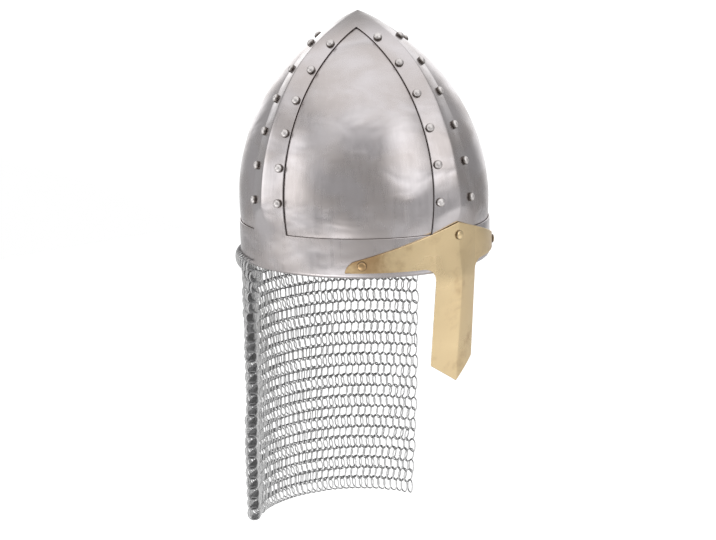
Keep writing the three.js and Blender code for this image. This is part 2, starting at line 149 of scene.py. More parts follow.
# Mail
MAIL_LEFT = (109.5, 108)  # degrees from the front at the top and at the bottom
MAIL_RIGHT = 256
MAIL_GATHER = 23  # degrees by which the right edge is gathered to the back
MAIL_GATHER_DEPTH = 0.38  # share of the drop in which that happens
MAIL_GATHER_POWER = 4
MAIL_RIGHT_LIFT = 0.014  # the right edge hangs shorter
MAIL_LIFT_POWER = 3
MAIL_NARROWING = 0.065  # share of the width lost at the bottom
MAIL_BACKWARD = 0.0126  # the bottom hangs this far behind the rim
MAIL_TUCK = 0.0035  # the right side hangs this far inside the rim
MAIL_TUCK_DEPTHS = (0.002, 0.010)  # below the rim, between which the tuck grows
MAIL_TUCK_FADE = (0.45, 0.75)  # shares of the drop between which it fades
MAIL_STEP = 0.002  # of the differences that give a ring's axes
HOOK_HEIGHT = -0.0008  # middle of the rings that go through the rim
HOOK_LEAN = math.radians(62)
HOOK_OFFSET = 0.0009  # middle of the rim's sheet
EDGE_LEAN = math.radians(8)  # more lean at the left edge
EDGE_LEAN_REACH = 0.2  # as a share of the curtain's width
EDGE_TWIST = math.radians(14)  # turn of the left edge out of the rim's curve
EDGE_TWIST_FADE = (0.08, 0.33)  # shares of the width between which it goes
RING_SQUARENESS = 2.35  # 2 is an ellipse, more is squarer
RING_SIDES = 14
WIRE_SIDES = 5
RING_SEED = 11
RING_SPREAD = (0.03, 0.0003, 0.07)  # of places in a row, in rings, of offsets and of leans


def length(name, description, default):
    """A length property in metres."""
    return bpy.props.FloatProperty(
        name=name, description=description, default=default, min=0, unit="LENGTH", precision=4
    )


def colour(name, description, default):
    """A linear colour property."""
    return bpy.props.FloatVectorProperty(
        name=name, description=description, default=default, size=3, subtype="COLOR", min=0, max=1
    )


class HelmetBowl(bpy.types.PropertyGroup):
    """Sizes of the bowl, measured on the outer face of the panels."""

    half_width: length("Half width", "Across the ears, at the brow", 0.104)
    half_length: length("Half length", "Front to back, at the brow", 0.1105)
    brow_height: length("Brow height", "Height of the upright brow", 0.0324)
    belly_height: length("Belly height", "Height at which the bowl is widest", 0.0482)
    point_height: length("Point height", "Height of the panels' meeting point", 0.2055)
    point_back: length("Point set back", "How far the point lies behind the middle", 0.001)
    ogive: bpy.props.FloatProperty(
        name="Ogive", description="1 is a half ellipse, more is a sharper point", default=1.68, min=1
    )
    sheet: length("Sheet", "Thickness of the steel", 0.0012)
    band_half: length("Band half width", "Plan width from crease to edge, above the flare", 0.0165)
    crease_rise: length("Crease rise", "How far a crease stands up from the bowl", 0.0049)
    rivet_radius: length("Rivet radius", "Radius of a rivet's head", 0.0036)
    rivet_height: length("Rivet height", "Height of a rivet's head", 0.0033)
    rivet_tail: length("Rivet tail", "From under the head to the end inside", 0.0052)


class HelmetNasal(bpy.types.PropertyGroup):
    """Sizes of the brass plate."""

    sheet: length("Sheet", "Thickness of the brass", 0.0016)
    peak: length("Peak", "Height of the plate's top at the middle", 0.0403)
    bar_half: length("Bar half width", "Half the width of the nose bar", 0.022)
    corner: length("Corner drop", "Depth of the bar's corners below the rim", 0.078)
    tip: length("Tip drop", "Depth of the bar's tip below the rim", 0.0943)
    arm_end: bpy.props.FloatProperty(
        name="Arm end", description="Degrees from the front to an arm's end", default=51.8, min=20, max=80
    )
    rivet_radius: length("Rivet radius", "Radius of a rivet's head", 0.0039)
    rivet_height: length("Rivet height", "Height of a rivet's head", 0.0018)
    rivet_tail: length("Rivet tail", "From under the head to the end inside", 0.005)


class HelmetMail(bpy.types.PropertyGroup):
    """Sizes of the mail curtain."""

    drop: length("Drop", "How far the curtain hangs below the rim", 0.265)
    rows: bpy.props.IntProperty(name="Rows", description="Rows of rings below the rim", default=24, min=2)
    columns: bpy.props.IntProperty(name="Columns", description="Rings in a row", default=43, min=2)
    ring_width: length("Ring half width", "From a ring's middle to the wire's middle, across", 0.0058)
    ring_height: length("Ring half height", "From a ring's middle to the wire's middle, up", 0.0064)
    wire: length("Wire", "Thickness of the wire", 0.0014)
    lean: bpy.props.FloatProperty(
        name="Lean", description="A ring's turn out of the curtain", default=math.radians(46), subtype="ANGLE"
    )


class HelmetFinish(bpy.types.PropertyGroup):
    """Colours of the finishes."""

    steel: colour("Steel", "Polished steel", (0.64, 0.605, 0.615))
    steel_warm: colour("Steel, warm patches", "Steel where it has yellowed", (0.55, 0.505, 0.495))
    # Painted shade: the steel is darkened towards the point
    steel_point_shade: colour("Steel, at the point", "Steel darkened by painted shade at the point", (0.33, 0.31, 0.305))
    # Painted light: the rivets' steel is made paler than the sheet in place of their highlights
    rivet: colour("Rivet steel", "Steel rivets", (0.95, 0.92, 0.91))
    brass: colour("Brass", "Clean brass", (0.92, 0.72, 0.43))
    tarnish: colour("Tarnish", "Tarnished brass", (0.42, 0.245, 0.11))
    # Painted light: the wire is paler where it faces out of the curtain
    mail: colour("Mail", "Mail wire, bright on the outside", (0.94, 0.94, 0.94))
    # Painted shade: the wire is darker where it faces into the curtain
    mail_inside_shade: colour("Mail, inside", "Mail wire on the inside of the curtain", (0.56, 0.56, 0.56))
    # Partly dark oxide and partly painted shade where the rings link
    mail_link_oxide_and_shade: colour("Mail, at the links", "Mail wire at the links: dark oxide and painted shade", (0.3, 0.3, 0.305))
    # Also used for painted shade round the edges of the rivets' heads
    grime: colour("Grime", "Dirt in the seams", (0.12, 0.1, 0.085))
    floor: colour("Floor", "Studio floor", (0.68, 0.68, 0.68))


def lerp(low, high, share):
    return low + (high - low) * share


def smoothstep(x, low, high):
    share = np.clip((x - low) / (high - low), 0, 1)
    return share * share * (3 - 2 * share)


def normalized(vectors):
    return vectors / np.linalg.norm(vectors, axis=-1, keepdims=True)


def outline(bowl, t):
    """Scale and height of the bowl at t, and the outward and upward parts of its normal.

    Above the brow the outline is an ellipse arc whose centre lies beyond the axis, so it comes to a
    point. Below, it is upright. Near the point the normal turns to stand straight up.
    """
    mean = (bowl.half_width + bowl.half_length) / 2
    arc = (bowl.point_height - bowl.belly_height) * bowl.ogive / math.sqrt(2 * bowl.ogive - 1)
    start = math.asin((bowl.brow_height - bowl.belly_height) / arc)
    end = math.asin((bowl.point_height - bowl.belly_height) / arc)
    brow_scale = bowl.ogive * math.cos(start) - (bowl.ogive - 1)
    angle = lerp(start, end, np.clip(t, 0, 1))
    scale = np.maximum((bowl.ogive * np.cos(angle) - (bowl.ogive - 1)) / brow_scale, 0)
    height = np.where(t > 0, bowl.belly_height + arc * np.sin(angle), bowl.brow_height * (1 + t))
    slope_in = np.maximum(bowl.ogive * np.sin(angle) * mean / brow_scale, 0)
    lean = np.arctan2(slope_in, arc * np.cos(angle))
    outward = np.cos(lean) * np.clip(scale * mean / POINT_ROUNDING, 0, 1)
    return scale, height, outward, np.sqrt(np.maximum(1 - outward**2, 0))


def bowl_point(bowl, angle, t, offset):
    """A point on the bowl: an ellipse in plan, shrunk by the outline's scale, moved along the normal."""
    scale, height, outward, upward = outline(bowl, t)
    rise = (height - bowl.brow_height) / (bowl.point_height - bowl.brow_height)
    x = (bowl.half_width * scale + offset * outward) * np.sin(angle)
    y = -(bowl.half_length * scale + offset * outward) * np.cos(angle)
    y = y + bowl.point_back * np.clip(rise, 0, 1)
    return np.stack(np.broadcast_arrays(x, y, height + offset * upward), axis=-1)


def band_half(bowl, band, t):
    """Half the plan width of a band, which flares towards the brow."""
    low = 1 - np.clip(t / FLARE_END, 0, 1)
    return bowl.band_half + BAND_FLARES[band % 2] * low**2


def crease_distances(bowl, angle, t):
    """Plan distances to the front-and-back crease and to the one from ear to ear."""
    scale = outline(bowl, t)[0]
    return np.abs(bowl.half_width * scale * np.sin(angle)), np.abs(bowl.half_length * scale * np.cos(angle))


def crease_lift(bowl, angle, t):
    """How far a band stands up: full at its rounded crease, nothing at its edges or at the brow.

    Towards the point the crease sinks, and above the windows the valleys between the bands fill up.
    """
    sideways, lengthways = crease_distances(bowl, angle, t)
    share = np.minimum(sideways / band_half(bowl, 0, t), lengthways / band_half(bowl, 1, t))
    valley = 1 - smoothstep(t, meeting_point(bowl, 0), 1)
    soft = CREASE_ROUND / bowl.band_half
    across = (np.hypot(1, soft) - np.hypot(valley * share, soft)) / (np.hypot(1, soft) - soft)
    height = outline(bowl, t)[1]
    grown = smoothstep(height, bowl.brow_height, bowl.brow_height + CREASE_FADE)
    rise = lerp(bowl.crease_rise, CREASE_RISE_TOP, smoothstep(t, CREASE_SINK, 1))
    return rise * grown * np.clip(across, 0, 1) ** CREASE_HOLLOW


def frame_point(bowl, angle, t, offset):
    """A point on the frame: the bowl raised by the crease, with the bottom edge rolled inwards."""
    height = outline(bowl, t)[1]
    turned = np.clip((RIM_ROLL - height) / RIM_ROLL, 0, 1)
    rolled_in = RIM_ROLL * (1 - np.sqrt(1 - turned**2))
    return bowl_point(bowl, angle, t, offset + crease_lift(bowl, angle, t) - rolled_in)


def diagonal(bowl):
    return math.atan2(bowl.half_length, bowl.half_width)


def spread(bowl, band, t, distance):
    """Angle from a band's crease to a line at a plan distance from it, up to the bands' shared diagonal."""
    even = band % 2 == 0
    reach = (bowl.half_width if even else bowl.half_length) * outline(bowl, t)[0]
    limit = diagonal(bowl) if even else QUARTER - diagonal(bowl)
    share = np.where(reach > 0, distance / np.maximum(reach, 1e-9), 1)
    return np.minimum(np.arcsin(np.clip(share, -1, 1)), limit)


def meeting_point(bowl, extra):
    """The t at which a line that follows a band's edge reaches the diagonal, by halving."""
    low, high = 0.0, 1.0
    for _ in range(HALVINGS):
        middle = (low + high) / 2
        reach = bowl.half_width * outline(bowl, middle)[0] * math.sin(diagonal(bowl))
        low, high = (middle, high) if reach > band_half(bowl, 0, middle) + extra else (low, middle)
    return low


def grid_faces(rows, columns, wrap_rows=False, wrap_columns=False):
    """Quads of a grid whose points are numbered along the columns, row after row."""
    r = np.arange(rows if wrap_rows else rows - 1)[:, None]
    c = np.arange(columns if wrap_columns else columns - 1)[None, :]
    up, right = (r + 1) % rows, (c + 1) % columns
    corners = (r * columns + c, r * columns + right, up * columns + right, up * columns + c)
    return np.stack(np.broadcast_arrays(*corners), axis=-1).reshape(-1, 4)


def weld(points, faces):
    """Makes points that coincide one point. Quads that lose a corner come back as triangles."""
    keys = np.round(points / WELD_TOLERANCE).astype(np.int64)
    _, first, index = np.unique(keys, axis=0, return_index=True, return_inverse=True)
    quads = index.reshape(-1)[faces]
    kept = quads != np.roll(quads, 1, axis=1)
    whole = quads[kept.sum(1) == 4]
    three = kept.sum(1) == 3
    triangles = quads[three][kept[three]].reshape(-1, 3)
    return first, [*whole.tolist(), *triangles.tolist()]


def patchwork(patches):
    """Joins grids of points, each rows x columns x 3 with columns to the viewer's right, where they meet."""
    points, faces, count = [], [], 0
    for patch in patches:
        rows, columns = patch.shape[:2]
        points.append(patch.reshape(-1, 3))
        faces.append(grid_faces(rows, columns) + count)
        count += rows * columns
    points = np.concatenate(points)
    first, faces = weld(points, np.concatenate(faces))
    return points[first], faces, first


def add_piece(name, points, faces, material, nodes, attributes=()):
    """Puts a mesh into the scene as a piece that rides on the helmet and stands for CAD nodes."""
    mesh = bpy.data.meshes.new(name)
    mesh.from_pydata(points, [], faces)
    for label, values in dict(attributes).items():
        layer = mesh.attributes.new(label, "FLOAT", "POINT")
        layer.data.foreach_set("value", np.ascontiguousarray(values, np.float32))
    mesh.polygons.foreach_set("use_smooth", np.ones(len(mesh.polygons), bool))
    mesh.materials.append(material)
    mesh.update()
    if mesh.validate():
        raise RuntimeError(f"{name} has faces that don't fit together")
    piece = bpy.data.objects.new(name, mesh)
    bpy.context.scene.collection.objects.link(piece)
    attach(piece, BODY)
    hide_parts(*nodes)
    return piece


def thicken(piece, thickness, bevel):
    """Gives a sheet its thickness inwards from its outer face, and rounds its edges."""
    wall = piece.modifiers.new("Sheet", "SOLIDIFY")
    wall.thickness = thickness
    wall.offset = -1
    wall.use_even_offset = True
    if bevel:
        edge = piece.modifiers.new("Edges", "BEVEL")
        edge.width = bevel
        edge.segments = BEVEL_SEGMENTS
        edge.limit_method = "ANGLE"
        edge.angle_limit = BEVEL_ANGLE
        edge.use_clamp_overlap = False
        edge.harden_normals = True


def lathe_on(seats, normals, profile, sides):
    """Turned shapes on seats: each profile row is a radius and a height along the seat's normal.

    Also gives the profile row that each point comes from.
    """
    helper = np.where(np.abs(normals[:, 2:]) > NEAR_UPRIGHT, (1.0, 0, 0), (0, 0, 1.0))
    across = normalized(np.cross(helper, normals))
    along = np.cross(normals, across)
    turn = np.linspace(0, 2 * math.pi, sides, endpoint=False)
    radial = across[:, None] * np.cos(turn)[:, None] + along[:, None] * np.sin(turn)[:, None]
    radius, height = np.asarray(profile).T
    points = seats[:, None, None] + radial[:, None] * radius[:, None, None]
    points = points + normals[:, None, None] * height[:, None, None]
    count = len(profile) * sides
    faces = grid_faces(len(profile), sides, wrap_columns=True)
    faces = (faces + count * np.arange(len(seats))[:, None, None]).reshape(-1, 4)
    points = points.reshape(-1, 3)
    first, faces = weld(points, faces)
    return points[first], faces, first % count // sides


def rivet_profile(radius, height, tail):
    """Tail, shank and half-round head of a rivet, from the inside of the bowl out to the head's top."""
    turn = np.linspace(QUARTER, 0, DOME_RINGS)
    dome = lerp(HEAD_EDGE, 1, np.cos(turn))
    head = np.stack([radius * np.sin(turn), height * dome], axis=1)
    tail_end = np.array(RIVET_TAIL) - (0, tail)
    return np.concatenate([tail_end, [(SHANK_R, 0), (radius * HEAD_UNDERSIDE, 0)], head])


def rivet_foot_shade(radius, profile, rows):
    """Painted shade round the edge of a rivet's head: 1 at its edge, nothing on its dome."""
    return smoothstep(profile[:, 0], FOOT_SHADE_START * radius, radius)[rows]


def seat_on(surface, angle, height):
    """Points of a surface and its outward normals there, from differences."""
    along = surface(angle + SEAT_STEP, height) - surface(angle - SEAT_STEP, height)
    up = surface(angle, height + SEAT_STEP) - surface(angle, height - SEAT_STEP)
    return surface(angle, height), normalized(np.cross(along, up))


def band_rivets(bowl, band):
    """Names, seats and normals of the rivets down both edges of a band."""
    t = RIVET_FIRST + RIVET_STEPS[band % 2] * np.arange(RIVETS_PER_EDGE)
    away = spread(bowl, band, t, band_half(bowl, band, t) - RIVET_INSET)
    angle = band * QUARTER + np.concatenate([-away, away])
    outer = FRAME_INNER + bowl.sheet
    seats, normals = seat_on(lambda a, h: frame_point(bowl, a, h, outer), angle, np.tile(t, 2))
    edges = (BANDS[band - 1], BANDS[(band + 1) % 4])
    names = [f"rivet_{BANDS[band]}_{edge}_{i + 1}" for edge in edges for i in range(RIVETS_PER_EDGE)]
    return names, seats + RIVET_GAP * normals, normals


def nasal_point(bowl, nasal, angle, height, offset):
    """A point on the brass plate: it follows the brow, with a rounded crease that stands out at the nose.

    Below the rim the bar leans inwards, widens and folds a little more towards its corners.
    """
    stand = FRAME_INNER + bowl.sheet + RIVET_GAP + offset
    x = (bowl.half_width + stand) * np.sin(angle)
    away = np.hypot(x, NASAL_CREASE_ROUND) - NASAL_CREASE_ROUND
    across = np.minimum(1, away / nasal.bar_half)
    above_nose = smoothstep(height, NASAL_RIDGE_NOSE, NASAL_RIDGE_TOP)
    below_nose = smoothstep(-height, -NASAL_RIDGE_NOSE, nasal.tip)
    crease = NASAL_CREASE + NASAL_RIDGE * (1 - above_nose) * (1 - below_nose)
    reach = bowl.half_length + stand + crease * (1 - across)
    below = np.maximum(0, NASAL_LEAN_START - height)
    folded = below / (NASAL_LEAN_START + nasal.corner)
    y = -reach * np.cos(angle) + NASAL_LEAN * below + NASAL_FOLD * across * folded
    return np.stack(np.broadcast_arrays(x * (1 + NASAL_FLARE * folded), y, height), axis=-1)


def nasal_patches(bowl, nasal):
    """Grids of the plate's two arms and of its bar, from edge curves at each angle.

    The arms taper outwards, their top edge turns down at the end, and a quarter-round fillet leads into
    the bar, whose bottom edge runs from its corners to a tip.
    """
    outer = FRAME_INNER + bowl.sheet
    bar_end = math.degrees(math.asin(nasal.bar_half / (bowl.half_width + outer)))
    turn = np.linspace(0, QUARTER, NASAL_TURN_POINTS)
    end_start = nasal.arm_end - NASAL_END_ROUND
    bar = bar_end * np.array(NASAL_BAR_COLUMNS)
    fillet = bar_end + NASAL_FILLET * (1 - np.cos(turn[1:]))
    arm = np.linspace(bar_end + NASAL_FILLET, end_start, NASAL_ARM_COLUMNS)[1:]
    end = end_start + NASAL_END_ROUND * np.sin(turn[1:])
    half = np.concatenate([bar, fillet, arm, end])

    def edges(degrees):
        high = nasal.peak - NASAL_TAPER * degrees
        into_fillet = np.clip(1 - (degrees - bar_end) / NASAL_FILLET, 0, 1)
        drop = NASAL_FILLET_DROP * (1 - np.sqrt(1 - into_fillet**2))
        into_end = np.clip((degrees - end_start) / NASAL_END_ROUND, 0, 1)
        left = (high - NASAL_ARM_LOW) * np.sqrt(1 - into_end**2)
        return NASAL_ARM_LOW - drop, NASAL_ARM_LOW + left

    joint = edges(np.array(bar_end))[0]
    low, high = edges(half)
    low = np.where(half <= bar_end, joint, low)
    degrees = np.concatenate([-half[:0:-1], half])
    low, high = np.concatenate([low[:0:-1], low]), np.concatenate([high[:0:-1], high])
    up = np.linspace(0, 1, NASAL_ARM_ROWS)[:, None]
    plate = nasal_point(bowl, nasal, np.radians(degrees), lerp(low, high, up), nasal.sheet)
    degrees = np.concatenate([-bar[:0:-1], bar])
    bottom = lerp(-nasal.tip, -nasal.corner, np.abs(degrees) / bar_end)
    up = np.linspace(0, 1, NASAL_BAR_ROWS)[:, None]
    stem = nasal_point(bowl, nasal, np.radians(degrees), lerp(bottom, joint, up), nasal.sheet)
    return [plate, stem]


def curtain_point(bowl, mail, across, height, offset):
    """A point of the mail: the rim's ellipse carried down, narrowing and drifting back as it hangs.

    across runs from 0 at the left edge, round the back, to 1 at the right edge, which hangs shorter,
    gathered to the back and tucked in under the rim.
    """
    lifted = MAIL_RIGHT_LIFT * across**MAIL_LIFT_POWER
    z = np.where(height < 0, height * (mail.drop - lifted) / mail.drop, height)
    down = np.clip(-height / mail.drop, 0, 1)
    gathered = MAIL_GATHER * np.minimum(1, down / MAIL_GATHER_DEPTH) * across**MAIL_GATHER_POWER
    angle = np.radians(lerp(lerp(*MAIL_LEFT, down), MAIL_RIGHT, across) - gathered)
    scale = 1 - MAIL_NARROWING * down**2
    tuck = MAIL_TUCK * across * smoothstep(-height, *MAIL_TUCK_DEPTHS)
    tuck = tuck * (1 - smoothstep(down, *MAIL_TUCK_FADE))
    x = (bowl.half_width * scale + offset - tuck) * np.sin(angle)
    y = -(bowl.half_length * scale + offset - tuck) * np.cos(angle) + MAIL_BACKWARD * down**2
    return np.stack(np.broadcast_arrays(x, y, z), axis=-1)


def mail_rings(bowl, mail):
    """Middles and axes of the rings, each hanging in the two above it.

    Rows lie half a ring apart sideways. Each ring is turned out of the curtain about the upright, the
    rows alternately to one side and the other. Rings lean more at the left edge, which turns out of
    the rim's curve, and where gathering brings them closer than usual: the cosine of the lean falls
    with their distance. Row 0 goes through the rim. Also gives the way out of the curtain.
    """
    draw = np.random.default_rng(RING_SEED)
    row = np.arange(mail.rows + 1)[:, None]
    column = np.arange(mail.columns)[None, :]
    across = (column + 0.25 + 0.5 * (row % 2)) / mail.columns
    step = (mail.drop - mail.ring_height - mail.wire / 2 + HOOK_HEIGHT) / mail.rows
    height = HOOK_HEIGHT - step * row + 0 * column
    jitter = draw.normal(size=(3, *height.shape))
    across = across + RING_SPREAD[0] / mail.columns * jitter[0]
    offset = np.where(row == 0, HOOK_OFFSET, RING_SPREAD[1] * jitter[1])
    middle = curtain_point(bowl, mail, across, height, offset)
    along = curtain_point(bowl, mail, across + MAIL_STEP, height, offset)
    along = along - curtain_point(bowl, mail, across - MAIL_STEP, height, offset)
    pitch = np.linalg.norm(along, axis=-1)
    along = normalized(along)
    up = normalized(middle - curtain_point(bowl, mail, across, height - MAIL_STEP, offset))
    out = normalized(np.cross(up, along))
    lean = np.arccos(np.cos(mail.lean) * np.minimum(1, pitch / np.median(pitch)))
    lean = lean + EDGE_LEAN * (1 - smoothstep(across, 0, EDGE_LEAN_REACH)) + RING_SPREAD[2] * jitter[2]
    twist = EDGE_TWIST * (1 - smoothstep(across, *EDGE_TWIST_FADE))
    turn = np.where(row == 0, -HOOK_LEAN, np.where(row % 2 == 0, -lean, lean) + twist)
    wide = np.cos(turn)[..., None] * along + np.sin(turn)[..., None] * out
    return [way.reshape(-1, 3) for way in (middle, normalized(wide), up, out)]


def ring_points(mail, middle, wide, up, out):
    """Rings of round wire: a slightly squared ellipse in the plane of wide and up, thickened by a circle.

    Also gives two values of each point: its share of the ring's half height, 1 at the links above and
    below, and how far the wire's skin faces out of the curtain, from -1 to 1.
    """
    turn = np.linspace(0, 2 * math.pi, RING_SIDES, endpoint=False)
    tube = np.linspace(0, 2 * math.pi, WIRE_SIDES, endpoint=False)
    flank = np.cross(wide, up)
    aside, rise = (np.sign(x) * np.abs(x) ** (2 / RING_SQUARENESS) for x in (np.cos(turn), np.sin(turn)))
    steep, flat = (np.sign(x) * np.abs(x) ** (RING_SQUARENESS - 1) for x in (aside, rise))
    outward = wide[:, None] * (steep * mail.ring_height)[:, None]
    outward = normalized(outward + up[:, None] * (flat * mail.ring_width)[:, None])
    path = wide[:, None] * (aside * mail.ring_width)[:, None]
    path = middle[:, None] + path + up[:, None] * (rise * mail.ring_height)[:, None]
    radius = mail.wire / 2
    skin = np.cos(tube)[:, None] * outward[:, :, None] + np.sin(tube)[:, None] * flank[:, None, None]
    points = path[:, :, None] + radius * skin
    faces = grid_faces(RING_SIDES, WIRE_SIDES, wrap_rows=True, wrap_columns=True)
    count = RING_SIDES * WIRE_SIDES
    faces = (faces + count * np.arange(len(middle))[:, None, None]).reshape(-1, 4)
    linked = np.tile(np.repeat(np.abs(rise), WIRE_SIDES), len(middle))
    outside = (skin * out[:, None, None]).sum(-1)
    return points.reshape(-1, 3), faces, {"linked": linked, "outside": outside.reshape(-1)}


class Nodes:
    """Adds and links nodes of one tree, in the order in which they are written."""

    def __init__(self, tree):
        self.tree = tree

    def add(self, kind, **values):
        node = self.tree.nodes.new(kind)
        for name, value in values.items():
            setattr(node, name, value)
        return node

    def link(self, start, end):
        self.tree.links.new(start, end)

    def attribute(self, name):
        return self.add("ShaderNodeAttribute", attribute_name=name).outputs["Fac"]

    def part(self, place, axis):
        node = self.add("ShaderNodeSeparateXYZ")
        self.link(place, node.inputs["Vector"])
        return node.outputs[axis]

    def noise(self, place, scale, detail, roughness=0.5, distortion=0):
        node = self.add("ShaderNodeTexNoise")
        self.link(place, node.inputs["Vector"])
        node.inputs["Scale"].default_value = scale
        node.inputs["Detail"].default_value = detail
        node.inputs["Roughness"].default_value = roughness
        node.inputs["Distortion"].default_value = distortion
        return node.outputs["Fac"]

    def stretch(self, place, scale):
        node = self.add("ShaderNodeMapping")
        self.link(place, node.inputs["Vector"])
        node.inputs["Scale"].default_value = scale
        return node.outputs["Vector"]

    def remap(self, value, low, high, to_low=0.0, to_high=1.0):
        node = self.add("ShaderNodeMapRange", interpolation_type="SMOOTHSTEP")
        self.link(value, node.inputs["Value"])
        for name, number in zip(("From Min", "From Max", "To Min", "To Max"), (low, high, to_low, to_high)):
            node.inputs[name].default_value = number
        return node.outputs["Result"]

    def math(self, operation, first, second):
        node = self.add("ShaderNodeMath", operation=operation)
        for socket, value in zip(node.inputs, (first, second)):
            if isinstance(value, (int, float)):
                socket.default_value = value
            else:
                self.link(value, socket)
        return node.outputs["Value"]

    def mix(self, share, first, second):
        node = self.add("ShaderNodeMix", data_type="RGBA")
        for name, value in (("Factor_Float", share), ("A_Color", first), ("B_Color", second)):
            socket = next(s for s in node.inputs if s.identifier == name)
            if isinstance(value, bpy.types.NodeSocket):
                self.link(value, socket)
            else:
                socket.default_value = (*value, 1)
        return next(s for s in node.outputs if s.identifier == "Result_Color")


# Finishes: ranges of a noise and what they turn into
NOISE_RANGE = (0.3, 0.7)  # most of a noise lies in it
POLISH_NOISES = {
    # stretch of the coordinates, detail, roughness, distortion
    "Patches": ((22, 22, 40), 3, 0.5, 0.3),
    "Streaks": ((260, 260, 18), 3, 0.6, 0),
    "Dents": ((22, 22, 40), 2, 0.4, 0.3),
}
WARM_PATCHES = (0.35, 0.68)
POINT_SHADE_HEIGHTS = (0.186, 0.209)  # heights between which painted shade darkens the steel towards the point
SEAM_GRIME = 0.0005  # width of the grime beside a seam
GRIME_ROUGH = 0.3
STEEL_ROUGH = (0.17, 0.27)
SCUFF_ROUGH = (0, 0.07)  # added by the streaks
SCUFF_DEPTH = 0.03  # as a share of the dents
STEEL_DENTS = 0.0016
RIVET_ROUGH = (0.36, 0.48)
TARNISHED_END = (0.035, 0.086, 0, 0.42)  # distances aside, and more of the noise between them
TARNISH_NOISE = (45, 5, 0.6, 0.2)  # scale, detail, roughness, distortion
TARNISH_COVER = (0.5, 0.9, 0, 0.8)
BRASS_ROUGH = (0.26, 0.38)
BRASS_DENTS = 0.0007
MAIL_METALLIC = 0.3  # dull, galvanized wire
MAIL_NOISE = (220, 2)  # scale, detail
MAIL_WORN = (0.35, 0.65)
MAIL_ROUGH = (0.45, 0.32)
MAIL_LINK_OXIDE_AND_SHADE = (0.55, 0.95)  # shares of a ring's half height between which it turns dark: dark oxide and painted shade at the links
# how far the wire faces out, between which painted shade on the inside turns to painted light on the outside
MAIL_SHADE_TO_LIGHT = (-0.4, 0.4)


def hand_polish_group():
    """Soft patches, streaks and swells that hand polishing leaves on sheet metal.

    Patches: blurred blotches a few centimetres wide. Streaks: upright strokes of the polishing wheel.
    Dents: low swells, wider than high, for a bump.
    """
    name = "Hand polish"
    if name in bpy.data.node_groups:
        return bpy.data.node_groups[name]
    group = bpy.data.node_groups.new(name, "ShaderNodeTree")
    group.interface.new_socket("Place", in_out="INPUT", socket_type="NodeSocketVector")
    for label in POLISH_NOISES:
        group.interface.new_socket(label, in_out="OUTPUT", socket_type="NodeSocketFloat")
    nodes = Nodes(group)
    start, end = nodes.add("NodeGroupInput"), nodes.add("NodeGroupOutput")
    for label, (scale, *shape) in POLISH_NOISES.items():
        place = nodes.stretch(start.outputs["Place"], scale)
        nodes.link(nodes.noise(place, 1, *shape), end.inputs[label])
    return group


def new_material(name):
    """A metal with its node helper, shader and Object coordinates."""
    material = bpy.data.materials.new(name)
    material.use_nodes = True
    nodes = Nodes(material.node_tree)
    shader = material.node_tree.nodes["Principled BSDF"]
    shader.inputs["Metallic"].default_value = 1
    place = nodes.add("ShaderNodeTexCoord").outputs["Object"]
    return material, nodes, shader, place


def hand_polish(nodes, place):
    node = nodes.add("ShaderNodeGroup", node_tree=hand_polish_group())
    nodes.link(place, node.inputs["Place"])
    return node


def bump(nodes, shader, height, distance):
    node = nodes.add("ShaderNodeBump")
    node.inputs["Distance"].default_value = distance
    nodes.link(height, node.inputs["Height"])
    nodes.link(node.outputs["Normal"], shader.inputs["Normal"])


def steel_material(finish):
    """Hand-polished sheet steel: soft patches, upright streaks, painted shade at the point and grime along
    the seams.
    """
    name = "Polished steel"
    if name in bpy.data.materials:
        return bpy.data.materials[name]
    material, nodes, shader, place = new_material(name)
    polish = hand_polish(nodes, place)
    patches = nodes.remap(polish.outputs["Patches"], *WARM_PATCHES)
    tone = nodes.mix(patches, finish.steel, finish.steel_warm)
    # Painted shade: the steel turns darker towards the point
    tone = nodes.mix(nodes.remap(nodes.part(place, "Z"), *POINT_SHADE_HEIGHTS), tone, finish.steel_point_shade)
    seam = nodes.attribute("seam")
    grime = nodes.remap(seam, 0, SEAM_GRIME, 1, 0)
    nodes.link(nodes.mix(grime, tone, finish.grime), shader.inputs["Base Color"])
    scuffed = nodes.remap(polish.outputs["Streaks"], *NOISE_RANGE, *SCUFF_ROUGH)
    rough = nodes.remap(polish.outputs["Patches"], *NOISE_RANGE, *STEEL_ROUGH)
    rough = nodes.math("ADD", rough, scuffed)
    rough = nodes.math("ADD", rough, nodes.math("MULTIPLY", grime, GRIME_ROUGH))
    nodes.link(rough, shader.inputs["Roughness"])
    waves = nodes.math("MULTIPLY", polish.outputs["Streaks"], SCUFF_DEPTH)
    bump(nodes, shader, nodes.math("ADD", polish.outputs["Dents"], waves), STEEL_DENTS)
    return material


def rivet_material(finish):
    """Steel rivets, paler and rougher than the sheet: the paleness is painted light, and painted shade
    darkens the edge of each head.
    """
    material, nodes, shader, place = new_material("Rivet steel")
    polish = hand_polish(nodes, place)
    # Painted light: the pale rivet tone stands in for highlights on the domes
    tone = nodes.mix(polish.outputs["Patches"], finish.rivet, finish.steel_warm)
    foot_shade = nodes.attribute("foot_shade")
    # Painted shade round the edge of each head, in the grime colour
    nodes.link(nodes.mix(foot_shade, tone, finish.grime), shader.inputs["Base Color"])
    rough = nodes.remap(polish.outputs["Streaks"], *NOISE_RANGE, *RIVET_ROUGH)
    nodes.link(rough, shader.inputs["Roughness"])
    return material


